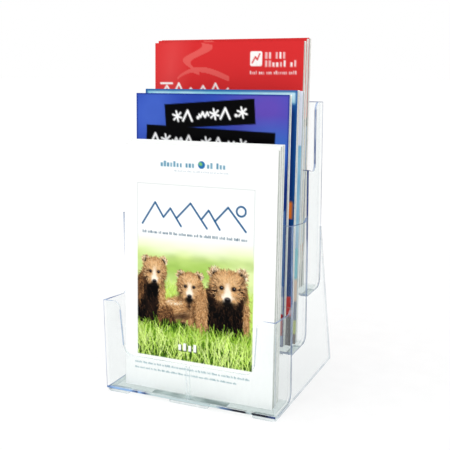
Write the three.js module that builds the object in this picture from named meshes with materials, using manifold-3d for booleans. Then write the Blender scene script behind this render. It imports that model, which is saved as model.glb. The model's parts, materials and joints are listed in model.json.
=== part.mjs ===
// A three-tier countertop brochure rack in clear moulded plastic, loaded with brochures.
// Units are millimetres. +X is the rack's right, +Y runs from front to back, +Z is up, and
// the origin is on the table, under the middle of the rack.

import * as THREE from 'three';
import { mergeVertices } from 'three/addons/utils/BufferGeometryUtils.js';
import Module from 'manifold-3d';

const wasm = await Module();
wasm.setup();

// ---- driving dimensions ----------------------------------------------------------------

const GAP = 0.3; // clearance between pieces that touch
const WIDTH = 220; // outside width of every tier
const WALL = 2.5; // moulded wall thickness
const TIER_DEPTH = 52; // front face to front face of two tiers
const TIER_RISE = 57; // floor to floor of two tiers
const FOOT_HEIGHT = 4; // underside of the front floor above the table
const BEND_RADIUS = 12; // outside bend between a floor and its back panel
const DRAFT = 0.022; // forward lean of a panel, per unit of height

const FRONT_HEIGHT = 113; // front panel of the front tier
const MOUTH_HEIGHT = 154; // the wall in front of each upper tier, above that tier's floor
const REAR_HEIGHT = 231; // back panel of the rear tier
const RIM_FALL = 4; // how far a side wall's rim drops towards the back
const RIM_FILLET = 8; // rise of the rim into the next panel
const FLANGE_DEPTH = 24; // side strips beside the rear tier's back panel
const FLANGE_CORNER = 9; // their rounded top corners

const SCOOP = { shoulder: 97, top: 87, foot: 84, cornerRadius: 10, footRadius: 12 };
const FRONT_LIP = 47; // front panel height under its scoop
const UPPER_LIP = 66; // the same on the two upper tiers, above their floors

const DIVIDER_RIB = { spacing: 4.2, width: 1.2, depth: 1.6, margin: 3 };
const GRIP_RIB = { count: 4, length: 98, radius: 0.8, first: 5, pitch: 2.4 };
const LEDGE = { inset: 12, depth: 3, height: 2.2 }; // carries the next tier's floor

const STAND_DEPTH = 216; // back of the stand panels on the table
const STAND_TOP = 195; // where their slanted edge meets the rear panel
const STAND_TOE = 3; // front of the stand panels
const STAND_LEDGE = { width: 8, height: 2.2, margin: 5 };

const FOOT = { corner: 26, centre: 50, depth: 10, front: 1.5, radius: 1.5 };

const LEAN = THREE.MathUtils.degToRad(2); // the brochures lean back by this
const STACK_FRONT = 15; // front of a tier to the bottom edge of its first brochure
const BOOKLET = { width: 197, height: 297, thickness: 7.5, sheet: 0.5, spineRadius: 0.9 };
const BOOKLET_GAP = 0.35;
const PAGE_INSET = 0.5; // the pages stop short of the cover's open edges

const CURVE_STEPS = 5;

const EYE_X = new THREE.Vector3(1, 0, 0);
const EYE_Y = new THREE.Vector3(0, 1, 0);
const EYE_Z = new THREE.Vector3(0, 0, 1);
const RACK_FRONT = -DRAFT * (FRONT_HEIGHT - BEND_RADIUS);
const CENTRE_Y = (RACK_FRONT + STAND_DEPTH) / 2;

// ---- solids ----------------------------------------------------------------------------

function toSolid(geometry) {
  const bare = geometry.clone();
  bare.deleteAttribute('normal');
  bare.deleteAttribute('uv');
  const merged = mergeVertices(bare, 1e-4);
  const vertProperties = Float32Array.from(merged.attributes.position.array);
  const triVerts = Uint32Array.from(merged.index.array);
  return new wasm.Manifold(new wasm.Mesh({ numProp: 3, vertProperties, triVerts }));
}

function toGeometry(solid) {
  const mesh = solid.getMesh();
  const geometry = new THREE.BufferGeometry();
  geometry.setAttribute('position', new THREE.BufferAttribute(mesh.vertProperties, 3));
  geometry.setIndex(new THREE.BufferAttribute(mesh.triVerts, 1));
  geometry.computeVertexNormals();
  return geometry;
}

function extrude(shape, depth) {
  const options = { depth, bevelEnabled: false, curveSegments: CURVE_STEPS };
  return new THREE.ExtrudeGeometry(shape, options);
}

// A side outline, drawn in Y and Z, swept along X from one x to another.
function sweepAcross(shape, fromX, toX) {
  const geometry = extrude(shape, toX - fromX);
  geometry.applyMatrix4(new THREE.Matrix4().makeBasis(EYE_Y, EYE_Z, EYE_X));
  return toSolid(geometry.translate(fromX, 0, 0));
}

// A front outline, drawn in X and Z, swept along Y from one y to another.
function sweepBack(shape, fromY, toY) {
  const geometry = extrude(shape, toY - fromY);
  const backwards = EYE_Y.clone().negate();
  geometry.applyMatrix4(new THREE.Matrix4().makeBasis(EYE_X, EYE_Z, backwards));
  return toSolid(geometry.translate(0, toY, 0));
}

function polygon(points) {
  return new THREE.Shape(points.map(([u, v]) => new THREE.Vector2(u, v)));
}

// ---- one tier of the rack --------------------------------------------------------------

// Forward lean of any panel, at a height above its own tier's floor.
function lean(height) {
  return DRAFT * Math.max(0, height - BEND_RADIUS);
}

// Front edge of a tier's side walls: its own front panel, or the tier in front.
function frontEdge(tier, height) {
  if (tier.front) {
    return -lean(height);
  }
  return WALL + GAP - lean(height + TIER_RISE);
}

// The bend from floor to back panel, drawn from below to above.
function addBend(path, offset) {
  const centreY = TIER_DEPTH + WALL - BEND_RADIUS;
  path.lineTo(centreY, -offset);
  path.absarc(centreY, BEND_RADIUS, BEND_RADIUS + offset, -Math.PI / 2, 0, false);
}

function tierOutline(tier) {
  const top = tier.backHeight;
  const rimBack = tier.rim - RIM_FALL;
  const inset = tier.flange ? FLANGE_DEPTH : 0;
  const stepY = TIER_DEPTH - inset - lean(rimBack);
  const outline = new THREE.Shape();
  outline.moveTo(frontEdge(tier, 0), 0);
  addBend(outline, 0);
  outline.lineTo(TIER_DEPTH + WALL - lean(top), top);
  if (tier.flange) {
    const cornerY = TIER_DEPTH - inset - lean(top) + FLANGE_CORNER;
    outline.absarc(cornerY, top - FLANGE_CORNER, FLANGE_CORNER, Math.PI / 2, Math.PI, false);
  } else {
    outline.lineTo(TIER_DEPTH - lean(top), top);
  }
  outline.absarc(stepY - RIM_FILLET, rimBack + RIM_FILLET, RIM_FILLET, 0, -Math.PI / 2, true);
  outline.lineTo(frontEdge(tier, tier.rim), tier.rim);
  outline.closePath();
  return outline;
}

function tierHollow(tier) {
  const above = tier.backHeight + WALL;
  const open = -TIER_DEPTH;
  const frontAt = (height) => (tier.front ? frontEdge(tier, height) + WALL : open);
  const outline = new THREE.Shape();
  outline.moveTo(frontAt(WALL), WALL);
  addBend(outline, -WALL);
  outline.lineTo(TIER_DEPTH - lean(above), above);
  outline.lineTo(frontAt(above), above);
  if (tier.front) {
    outline.lineTo(frontAt(BEND_RADIUS), BEND_RADIUS);
  }
  outline.closePath();
  return outline;
}

// The wide finger scoop in a panel, from its lip up past its top edge.
function scoopOutline(lip, top) {
  const { shoulder, top: upper, foot, cornerRadius, footRadius } = SCOOP;
  const right = new THREE.Path();
  right.moveTo(shoulder, top + WALL);
  right.lineTo(shoulder, top);
  right.absarc(upper + cornerRadius, top - cornerRadius, cornerRadius, Math.PI / 2, Math.PI, false);
  right.absarc(foot - footRadius, lip + footRadius, footRadius, 0, -Math.PI / 2, true);
  const points = right.getPoints(CURVE_STEPS);
  const mirrored = points.map((p) => new THREE.Vector2(-p.x, p.y)).reverse();
  return new THREE.Shape([...points, ...mirrored]);
}

function dividerRib(centreX) {
  const inner = (height) => WALL - lean(height);
  const low = WALL - GAP;
  const high = FRONT_LIP - DIVIDER_RIB.margin;
  const outline = polygon([
    [inner(low) - GAP, low],
    [inner(low) + DIVIDER_RIB.depth, low],
    [inner(high) + DIVIDER_RIB.depth, high],
    [inner(high) - GAP, high],
  ]);
  const half = DIVIDER_RIB.width / 2;
  return sweepAcross(outline, centreX - half, centreX + half);
}

function gripRib(y) {
  const geometry = new THREE.CylinderGeometry(GRIP_RIB.radius, GRIP_RIB.radius, GRIP_RIB.length, 12);
  geometry.rotateZ(Math.PI / 2);
  return toSolid(geometry.translate(0, y, WALL));
}

// The ledge behind a panel, under the floor of the tier behind.
function nextFloorLedge() {
  const top = TIER_RISE - GAP;
  const rear = TIER_DEPTH + WALL - lean(top);
  const outline = polygon([
    [rear - WALL / 2, top - LEDGE.height],
    [rear + LEDGE.depth, top - LEDGE.height / 2],
    [rear + LEDGE.depth, top],
    [rear - WALL / 2, top],
  ]);
  const half = WIDTH / 2 - LEDGE.inset;
  return sweepAcross(outline, -half, half);
}

function makeTier(tier) {
  const half = WIDTH / 2;
  let solid = sweepAcross(tierOutline(tier), -half, half);
  solid = solid.subtract(sweepAcross(tierHollow(tier), WALL - half, half - WALL));
  if (tier.front) {
    solid = solid.subtract(sweepBack(scoopOutline(FRONT_LIP, FRONT_HEIGHT), -TIER_DEPTH / 2, WALL * 2));
    solid = solid.add(dividerRib(-DIVIDER_RIB.spacing / 2));
    solid = solid.add(dividerRib(DIVIDER_RIB.spacing / 2));
    for (let rib = 0; rib < GRIP_RIB.count; rib += 1) {
      solid = solid.add(gripRib(GRIP_RIB.first + rib * GRIP_RIB.pitch));
    }
  }
  if (tier.scoopBehind) {
    const cut = scoopOutline(TIER_RISE + UPPER_LIP, tier.backHeight);
    solid = solid.subtract(sweepBack(cut, TIER_DEPTH / 2, TIER_DEPTH + WALL * 2));
    solid = solid.add(nextFloorLedge());
  }
  return toGeometry(solid);
}

const TIERS = [
  {
    name: 'front_pocket',
    front: true,
    rim: FRONT_HEIGHT,
    backHeight: TIER_RISE + MOUTH_HEIGHT,
    flange: false,
    scoopBehind: true,
  },
  {
    name: 'middle_pocket',
    front: false,
    rim: MOUTH_HEIGHT,
    backHeight: TIER_RISE + MOUTH_HEIGHT,
    flange: false,
    scoopBehind: true,
  },
  {
    name: 'rear_pocket',
    front: false,
    rim: MOUTH_HEIGHT,
    backHeight: REAR_HEIGHT,
    flange: true,
    scoopBehind: false,
  },
];

// ---- stand panels and feet -------------------------------------------------------------

// Goes under one tier, from the foot of its back panel to the panel of the tier in front.
function followTier(outline, index) {
  const baseY = index * TIER_DEPTH;
  const baseZ = FOOT_HEIGHT + index * TIER_RISE;
  const centreY = baseY + TIER_DEPTH + WALL - BEND_RADIUS;
  outline.absarc(centreY, baseZ + BEND_RADIUS, BEND_RADIUS + GAP, 0, -Math.PI / 2, true);
  if (index > 0) {
    outline.lineTo(baseY + WALL + GAP - lean(TIER_RISE), baseZ - GAP);
  }
}

function standOutline() {
  const last = TIERS.length - 1;
  const rearFloor = FOOT_HEIGHT + last * TIER_RISE;
  const rearPanel = TIERS.length * TIER_DEPTH + WALL + GAP;
  const outline = new THREE.Shape();
  outline.moveTo(STAND_TOE, 0);
  outline.lineTo(STAND_DEPTH, 0);
  outline.lineTo(STAND_DEPTH, FOOT_HEIGHT);
  outline.lineTo(rearPanel + WALL - lean(STAND_TOP - rearFloor), STAND_TOP);
  outline.lineTo(rearPanel - lean(STAND_TOP - rearFloor), STAND_TOP);
  for (let index = last; index >= 0; index -= 1) {
    followTier(outline, index);
  }
  outline.lineTo(STAND_TOE, FOOT_HEIGHT - GAP);
  outline.closePath();
  return outline;
}

// The inside ledges of a stand panel, one under each upper floor.
function standLedge(index, side) {
  const top = FOOT_HEIGHT + index * TIER_RISE - GAP;
  const front = index * TIER_DEPTH + WALL + STAND_LEDGE.margin;
  const back = (index + 1) * TIER_DEPTH + WALL - BEND_RADIUS - STAND_LEDGE.margin;
  const outline = polygon([
    [front, top - STAND_LEDGE.height],
    [back, top - STAND_LEDGE.height],
    [back, top],
    [front, top],
  ]);
  const outer = WIDTH / 2 - WALL / 2;
  const inner = WIDTH / 2 - WALL - STAND_LEDGE.width;
  return sweepAcross(outline, Math.min(side * inner, side * outer), Math.max(side * inner, side * outer));
}

function makeStand(side) {
  const outer = side * (WIDTH / 2);
  const inner = side * (WIDTH / 2 - WALL);
  let solid = sweepAcross(standOutline(), Math.min(outer, inner), Math.max(outer, inner));
  for (let index = 1; index < TIERS.length; index += 1) {
    solid = solid.add(standLedge(index, side));
  }
  return toGeometry(solid);
}

function makeFoot(length) {
  const half = length / 2;
  const { depth, radius } = FOOT;
  const outline = new THREE.Shape();
  outline.absarc(half - radius, radius, radius, -Math.PI / 2, 0, false);
  outline.absarc(half - radius, depth - radius, radius, 0, Math.PI / 2, false);
  outline.absarc(radius - half, depth - radius, radius, Math.PI / 2, Math.PI, false);
  outline.absarc(radius - half, radius, radius, Math.PI, Math.PI * 1.5, false);
  outline.closePath();
  return toGeometry(toSolid(extrude(outline, FOOT_HEIGHT - GAP)));
}

// ---- brochures -------------------------------------------------------------------------

function makeCover(width, height) {
  const { thickness, sheet, spineRadius } = BOOKLET;
  const outline = new THREE.Shape();
  outline.moveTo(width, 0);
  outline.lineTo(spineRadius, 0);
  outline.absarc(spineRadius, spineRadius, spineRadius, -Math.PI / 2, -Math.PI, true);
  outline.absarc(spineRadius, thickness - spineRadius, spineRadius, Math.PI, Math.PI / 2, true);
  outline.lineTo(width, thickness);
  outline.lineTo(width, thickness - sheet);
  outline.lineTo(spineRadius, thickness - sheet);
  outline.lineTo(sheet, thickness - spineRadius);
  outline.lineTo(sheet, spineRadius);
  outline.lineTo(spineRadius, sheet);
  outline.lineTo(width, sheet);
  outline.closePath();
  return toGeometry(toSolid(extrude(outline, height)));
}

function makePages(width, height) {
  const margin = BOOKLET.sheet + GAP;
  const spineMargin = margin + GAP;
  const block = new THREE.BoxGeometry(
    width - spineMargin - PAGE_INSET,
    BOOKLET.thickness - 2 * margin,
    height - 2 * PAGE_INSET,
  );
  block.translate((width + spineMargin - PAGE_INSET) / 2, BOOKLET.thickness / 2, height / 2);
  return toGeometry(toSolid(block));
}

// The brochures of each tier, from front to back: the cover's colour, how much wider and taller
// than the usual sheet it is, and how far its middle stands to the right of the rack's.
const STACKS = {
  front: [
    { colour: 0xf4f6f5, wider: -4, taller: -2.5, right: 4 },
    { colour: 0xf4f6f5, wider: -4, taller: 1, right: 3.5 },
    { colour: 0xf4f6f5, wider: -4, taller: 2, right: 3 },
  ],
  middle: [
    { colour: 0x3a58b4, wider: 2, taller: -2, right: -5.5 },
    { colour: 0x8ccae2, wider: 0, taller: 3, right: 2 },
    { colour: 0xe0e4f0, wider: 0, taller: 2, right: 5.5 },
  ],
  rear: [
    { colour: 0xd8343c, wider: 2, taller: 2, right: -7 },
    { colour: 0xd8343c, wider: 2, taller: 5, right: -6.5 },
    { colour: 0xd8343c, wider: 2, taller: 6, right: -6 },
  ],
};

// ---- assembly --------------------------------------------------------------------------

const clearPlastic = { color: 0xe4f0f0, roughness: 0.06, metalness: 0, transparent: true, opacity: 0.35 };
const paper = { color: 0xf3f1ea, roughness: 0.85, metalness: 0 };

function addMesh(parent, name, geometry, finish) {
  const mesh = new THREE.Mesh(geometry, new THREE.MeshStandardMaterial(finish));
  mesh.name = name;
  parent.add(mesh);
  return mesh;
}

const rack = new THREE.Group();
rack.position.y = -CENTRE_Y;

TIERS.forEach((tier, index) => {
  const mesh = addMesh(rack, tier.name, makeTier(tier), clearPlastic);
  mesh.position.set(0, index * TIER_DEPTH, FOOT_HEIGHT + index * TIER_RISE);
});

addMesh(rack, 'left_stand_panel', makeStand(-1), clearPlastic);
addMesh(rack, 'right_stand_panel', makeStand(1), clearPlastic);

const cornerFootX = WIDTH / 2 - WALL - GAP - FOOT.corner / 2;
for (const [name, x, length] of [
  ['front_foot_left', -cornerFootX, FOOT.corner],
  ['front_foot_centre', 0, FOOT.centre],
  ['front_foot_right', cornerFootX, FOOT.corner],
]) {
  const foot = addMesh(rack, name, makeFoot(length), clearPlastic);
  foot.position.set(x, FOOT.front, 0);
}

Object.entries(STACKS).forEach(([stackName, stack], tierIndex) => {
  const floorZ = FOOT_HEIGHT + tierIndex * TIER_RISE + WALL;
  const pitch = (BOOKLET.thickness + BOOKLET_GAP) / Math.cos(LEAN);
  stack.forEach(({ colour, wider, taller, right }, place) => {
    const width = BOOKLET.width + wider;
    const height = BOOKLET.height + taller;
    const booklet = new THREE.Group();
    booklet.rotation.x = -LEAN;
    booklet.position.set(
      right - width / 2,
      tierIndex * TIER_DEPTH + STACK_FRONT + place * pitch,
      floorZ + GAP + BOOKLET.thickness * Math.sin(LEAN),
    );
    const name = `${stackName}_brochure_${place + 1}`;
    const card = { color: colour, roughness: 0.35, metalness: 0 };
    addMesh(booklet, `${name}_cover`, makeCover(width, height), card);
    addMesh(booklet, `${name}_pages`, makePages(width, height), paper);
    rack.add(booklet);
  });
});

export default rack;
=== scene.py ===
"""A three-tier clear plastic brochure rack with brochures in it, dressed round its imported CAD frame."""

import json
import math

import bmesh
import bpy
import numpy as np
from mathutils import Matrix, Vector
from mathutils.bvhtree import BVHTree
from mathutils.geometry import area_tri, tessellate_polygon


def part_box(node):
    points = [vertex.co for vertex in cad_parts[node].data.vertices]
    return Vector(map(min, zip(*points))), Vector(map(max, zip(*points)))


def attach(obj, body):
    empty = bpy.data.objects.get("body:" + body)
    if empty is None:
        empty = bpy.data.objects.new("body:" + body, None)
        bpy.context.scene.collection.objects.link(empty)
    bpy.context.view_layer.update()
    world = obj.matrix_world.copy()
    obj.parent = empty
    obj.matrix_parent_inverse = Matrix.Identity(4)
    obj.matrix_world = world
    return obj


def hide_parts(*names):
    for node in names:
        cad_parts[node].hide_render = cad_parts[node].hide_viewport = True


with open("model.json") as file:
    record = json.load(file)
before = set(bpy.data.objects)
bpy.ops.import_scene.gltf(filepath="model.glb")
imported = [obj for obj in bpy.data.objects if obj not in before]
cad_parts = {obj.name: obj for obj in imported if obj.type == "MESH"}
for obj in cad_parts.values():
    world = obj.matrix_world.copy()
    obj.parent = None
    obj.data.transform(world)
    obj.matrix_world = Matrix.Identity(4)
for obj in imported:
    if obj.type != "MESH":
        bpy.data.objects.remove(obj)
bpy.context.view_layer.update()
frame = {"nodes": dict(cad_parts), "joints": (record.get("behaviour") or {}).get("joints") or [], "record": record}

MM = 0.001
HALF_WIDTH = 110 * MM
RACK = "rack"
POCKET_NODES = ("front_pocket", "middle_pocket", "rear_pocket")
STAND_NODES = ("left_stand_panel", "right_stand_panel")
FOOT_NODES = ("front_foot_left", "front_foot_centre", "front_foot_right")
TIER_NAMES = ("front", "middle", "rear")
PER_TIER = 3


def add_object(name, data):
    made = bpy.data.objects.new(name, data)
    bpy.context.scene.collection.objects.link(made)
    return made


# ---- node materials


class Shader:
    """A node material under construction: node() adds a node and sets or links its inputs."""

    def __init__(self, name):
        self.material = bpy.data.materials.new(name)
        self.material.use_nodes = True
        self.tree = self.material.node_tree
        self.tree.nodes.clear()
        self.output = self.tree.nodes.new("ShaderNodeOutputMaterial")

    def node(self, kind, settings=None, **inputs):
        made = self.tree.nodes.new("ShaderNode" + kind)
        for key, value in (settings or {}).items():
            setattr(made, key, value)
        for key, value in inputs.items():
            self.feed(made, key.replace("_", " "), value)
        return made

    def feed(self, made, key, value):
        socket = made.inputs[int(key[1:])] if key[0] == "i" and key[1:].isdigit() else made.inputs[key]
        if isinstance(value, bpy.types.NodeSocket):
            self.tree.links.new(value, socket)
        else:
            socket.default_value = value

    def numbers(self, kind, settings, *values):
        inputs = {f"i{index}": value for index, value in enumerate(values)}
        return self.node(kind, settings, **inputs).outputs[0]

    def maths(self, operation, *values):
        return self.numbers("Math", {"operation": operation}, *values)

    def remap(self, value, low, high, to_low, to_high):
        return self.numbers("MapRange", {"clamp": True}, value, low, high, to_low, to_high)

    def ramp(self, value, *stops):
        """A colour ramp. stops are (position, colour) pairs in rising order."""
        made = self.node("ValToRGB", i0=value)
        elements = made.color_ramp.elements
        elements.remove(elements[1])
        elements[0].position = stops[0][0]
        for position, _ in stops[1:]:
            elements.new(position)
        for element, (_, colour) in zip(elements, stops):
            element.color = (*colour, 1.0)
        return made.outputs[0]

    def noise(self, vector, scale, detail, roughness):
        made = self.node("TexNoise", Vector=vector, Scale=scale, Detail=detail, Roughness=roughness)
        return made.outputs[0]

    def stretched(self, x, y, z):
        """The frame's coordinates in metres, times x, y and z."""
        place = self.node("TexCoord").outputs["Object"]
        return self.node("Mapping", Vector=place, Scale=(x, y, z)).outputs[0]

    def place(self):
        return self.stretched(1, 1, 1)

    def across(self):
        return self.node("SeparateXYZ", Vector=self.place()).outputs["X"]

    def bump(self, height, strength, distance):
        return self.node("Bump", Height=height, Strength=strength, Distance=distance).outputs[0]

    def mixed(self, share, first, second):
        """Two shader nodes in one. share says how much of the second shows."""
        return self.node("MixShader", i0=share, i1=first.outputs[0], i2=second.outputs[0])

    def tinted(self, share, colour, tint):
        """A colour multiplied by a tint, as far as share says."""
        settings = {"data_type": "RGBA", "blend_type": "MULTIPLY"}
        return self.node("Mix", settings, i0=share, i6=colour, i7=tint).outputs[2]

    def finish(self, surface):
        self.tree.links.new(surface.outputs[0], self.output.inputs["Surface"])
        return self.material


def tone(red, green, blue):
    """A screen colour, from values from 0 to 255."""
    return np.array([red, green, blue], float) / 255.0


def linear_of(screen):
    """Screen colours from 0 to 1 as the linear numbers that shaders take."""
    return np.where(screen <= 0.04045, screen / 12.92, ((screen + 0.055) / 1.055) ** 2.4)


def rgb(red, green, blue):
    """A linear colour, from screen values from 0 to 255."""
    return tuple(float(v) for v in linear_of(tone(red, green, blue)))


EDGE_TINT = (0.93, 0.96, 0.97, 1.0)
EDGE_SPOTS = 34.0


def clear_wall(name, tint, haze_least, haze_most, milk_colour):
    """Polished clear polystyrene, seen through its faces: a faint tint, a grazing gloss and fine scuffs."""
    s = Shader(name)
    scuffs = s.noise(s.stretched(1, 1, 0.2), 260.0, 4.0, 0.6)
    waves = s.noise(s.place(), 22.0, 1.0, 0.4)
    normal = s.bump(waves, 0.06, 0.0012)
    milk = s.node("BsdfDiffuse", Color=(*milk_colour, 1.0))
    through = s.node("BsdfTransparent", Color=(*tint, 1.0))
    clear = s.mixed(s.remap(scuffs, 0.4, 0.8, haze_least, haze_most), through, milk)
    roughness = s.remap(scuffs, 0.3, 0.8, 0.02, 0.09)
    shine = s.node("BsdfAnisotropic", Color=(0.9, 0.94, 0.95, 1.0), Roughness=roughness, Normal=normal)
    grazing = s.node("LayerWeight", Blend=0.5, Normal=normal).outputs["Facing"]
    mirror = s.maths("MULTIPLY_ADD", s.maths("POWER", grazing, 5.0), 0.4, 0.02)
    return s.finish(s.mixed(mirror, clear, shine))


def clear_edge(name, body, glint, least, most):
    """An edge of the clear plastic, coloured with painted light: streaks of a deep colour and pale glints where
    the edge gathers light, with more of the deep colour on the right as painted shade.

    least and most say how solid the palest and the deepest parts look.
    """
    s = Shader(name)
    spots = s.noise(s.stretched(1.0, 1.0, 0.6), EDGE_SPOTS, 2.0, 0.5)
    # Painted light: noise picks deep colour or pale glint, shifted towards the deep colour on the right as painted
    # shade.
    painted_light_streaks = s.maths("MULTIPLY_ADD", s.across(), -0.5, spots)
    middle = tuple(0.5 * (a + b) for a, b in zip(body, glint))
    colour = s.ramp(painted_light_streaks, (0.38, body), (0.52, middle), (0.66, glint))
    roughness = s.remap(painted_light_streaks, 0.3, 0.7, 0.05, 0.16)
    gloss = s.node("BsdfPrincipled", Base_Color=colour, Roughness=roughness, IOR=1.5)
    through = s.node("BsdfTransparent", Color=EDGE_TINT)
    return s.finish(s.mixed(s.remap(painted_light_streaks, 0.38, 0.66, most, least), through, gloss))


def clear_base_edge():
    """The lowest floor's front edge, coloured with painted light and shade: light blue on the left, pale
    amidships, almost black on the right.
    """
    s = Shader("clear_base_edge")
    wander = s.noise(s.place(), 90.0, 2.0, 0.6)
    along = s.maths("MULTIPLY_ADD", wander, 0.012, s.maths("SUBTRACT", s.across(), 0.006))
    part = s.remap(along, -HALF_WIDTH, HALF_WIDTH, 0.0, 1.0)
    blue, sky, navy = rgb(86, 116, 170), rgb(140, 176, 222), rgb(44, 66, 118)
    pale, slate, black = rgb(186, 204, 206), rgb(96, 122, 160), rgb(8, 14, 34)
    left_end = ((0.0, blue), (0.05, sky), (0.15, sky), (0.18, navy), (0.2, sky), (0.24, navy))
    amidships = ((0.28, pale), (0.66, pale), (0.7, slate))
    right_end = ((0.77, black), (0.83, black), (0.85, pale), (0.87, black), (0.95, black), (0.99, navy))
    # Painted light and shade: these colours change along the edge by where it stands, not by the plastic.
    colour = s.ramp(part, *left_end, *amidships, *right_end)
    gloss = s.node("BsdfPrincipled", Base_Color=colour, Roughness=0.12, Specular_IOR_Level=0.15)
    through = s.node("BsdfTransparent", Color=EDGE_TINT)
    return s.finish(s.mixed(s.remap(wander, 0.3, 0.7, 1.0, 0.96), through, gloss))


def printed_card(name, gloss_roughness):
    """Coated card that carries a painted colour attribute, with a light varnish and paper tooth."""
    s = Shader(name)
    paint = s.node("Attribute", {"attribute_name": "paint"}).outputs["Color"]
    tooth = s.noise(s.place(), 900.0, 3.0, 0.6)
    waves = s.noise(s.place(), 9.0, 1.0, 0.4)
    height = s.maths("MULTIPLY_ADD", waves, 3.0, tooth)
    card = s.node(
        "BsdfPrincipled",
        Base_Color=paint,
        Roughness=s.remap(tooth, 0.3, 0.7, gloss_roughness - 0.04, gloss_roughness + 0.08),
        Normal=s.bump(height, 0.12, 0.0006),
        Specular_IOR_Level=0.04,
    )
    return s.finish(card)


def page_edges():
    """The cut edges of a block of pages: fine lines across the thickness, stained by the print's bleed."""
    s = Shader("page_edges")
    tint = s.node("Attribute", {"attribute_name": "tint"}).outputs["Color"]
    lines = s.noise(s.stretched(0.2, 1.0, 0.05), 4200.0, 2.0, 0.5)
    bleed = s.noise(s.stretched(1.0, 6.0, 0.12), 150.0, 3.0, 0.7)
    shade = s.ramp(lines, (0.3, rgb(216, 219, 216)), (0.6, rgb(254, 254, 252)))
    stained = s.tinted(s.remap(bleed, 0.5, 0.75, 0.0, 0.9), s.tinted(0.85, shade, tint), tint)
    paper = s.node(
        "BsdfPrincipled",
        Base_Color=stained,
        Roughness=s.remap(lines, 0.3, 0.7, 0.7, 0.9),
        Normal=s.bump(lines, 0.35, 0.0002),
    )
    return s.finish(paper)


# ---- clear plastic pieces

WALL = 2.5 * MM
BEVEL = 0.75 * MM
THROUGH_THICKNESS = 1.7 * WALL
WELD, SKIN, FAR_OFF = 0.001 * MM, 0.01 * MM, 1.0
FLAT_WITHIN, ROUNDED_OVER, SHARP_OVER = math.radians(0.4), math.radians(40), math.radians(50)
FRONT_DEPTH, DIVIDER_DEPTH, DIVIDER_REACH = 5.5 * MM, 9 * MM, 4 * MM
FLOOR_BAND = 1.2 * WALL
SCOOP_LEFT, SCOOP_RIGHT = -72 * MM, 96 * MM
RIB_WIDTH, RIB_LENGTH = 1.3 * MM, 50 * MM
SLOT_WALL, SLOT_EDGE, SLOT_LINE, SLOT_BASE, SLOT_FLOOR, SLOT_RIB, SLOT_PALE = range(7)


def tidy_facets(bm):
    """Joins the flat triangles of the CAD solid back into whole faces."""
    bmesh.ops.remove_doubles(bm, verts=bm.verts, dist=WELD)
    bmesh.ops.dissolve_limit(bm, angle_limit=FLAT_WITHIN, verts=bm.verts, edges=bm.edges)
    bm.faces.ensure_lookup_table()


def narrow_width(face):
    """About how wide a long face is across its short side."""
    return 2 * face.calc_area() / max(face.calc_perimeter(), 1e-9)


def is_rib(face):
    """Says whether a face belongs to a low rib."""
    return narrow_width(face) < RIB_WIDTH and face.calc_perimeter() > 2 * RIB_LENGTH and face.normal.z > 0.2


def point_inside(face):
    """A point well inside a face, whatever its outline: the middle of its largest triangle."""
    corners = [vert.co for vert in face.verts]
    triangles = [[corners[index] for index in triple] for triple in tessellate_polygon([corners])]
    return sum(max(triangles, key=lambda triangle: area_tri(*triangle)), Vector()) / 3


def mark_faces(bm):
    """Tells the faces of walls from the edges that close a wall's thickness, the floors and the ribs."""
    tree = BVHTree.FromBMesh(bm)
    for face in bm.faces:
        start = point_inside(face) - face.normal * SKIN
        depth = tree.ray_cast(start, -face.normal, FAR_OFF)[3] or FAR_OFF
        if is_rib(face):
            face.material_index = SLOT_RIB
        elif depth > THROUGH_THICKNESS:
            face.material_index = SLOT_EDGE
        elif abs(face.normal.z) > 0.9:
            face.material_index = SLOT_FLOOR
        else:
            face.material_index = SLOT_WALL


def mark_front(bm, corner, far_corner):
    """Grades the front panel's lines in painted light and shade: dark along the floor's edge, pale round the scoop
    and one corner.
    """
    floor_top = corner.z + FLOOR_BAND
    front = [face for face in bm.faces if face.calc_center_median().y < corner.y + FRONT_DEPTH]
    parts = set(front)
    for face in front:
        parts.update(face.edges)
        parts.update(face.verts)
    bmesh.ops.bisect_plane(bm, geom=list(parts), plane_co=(0, 0, floor_top), plane_no=(0, 0, 1), dist=WELD)
    for face in bm.faces:
        centre = face.calc_center_median()
        reach = max(abs(vert.co.x) for vert in face.verts)
        if centre.y < corner.y + DIVIDER_DEPTH and reach < DIVIDER_REACH:
            face.material_index = SLOT_PALE
        if centre.y > corner.y + FRONT_DEPTH:
            continue
        # Painted light: lines round the scoop and the far corner take the pale edge colours, the floor's edge the
        # dark ones.
        pale = SCOOP_LEFT < centre.x < SCOOP_RIGHT or centre.x > far_corner.x - WALL
        if centre.z < floor_top:
            face.material_index = SLOT_BASE
        elif pale and face.material_index in (SLOT_LINE, SLOT_EDGE):
            face.material_index = SLOT_PALE


def sharp_edges(bm):
    """Edges worth rounding: sharp outward ones between faces that are wide enough to take it."""
    chosen = []
    for edge in bm.edges:
        if len(edge.link_faces) != 2 or not edge.is_convex or edge.calc_face_angle(0.0) < ROUNDED_OVER:
            continue
        if min(narrow_width(face) for face in edge.link_faces) > 1.5 * BEVEL:
            chosen.append(edge)
    return chosen


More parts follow.
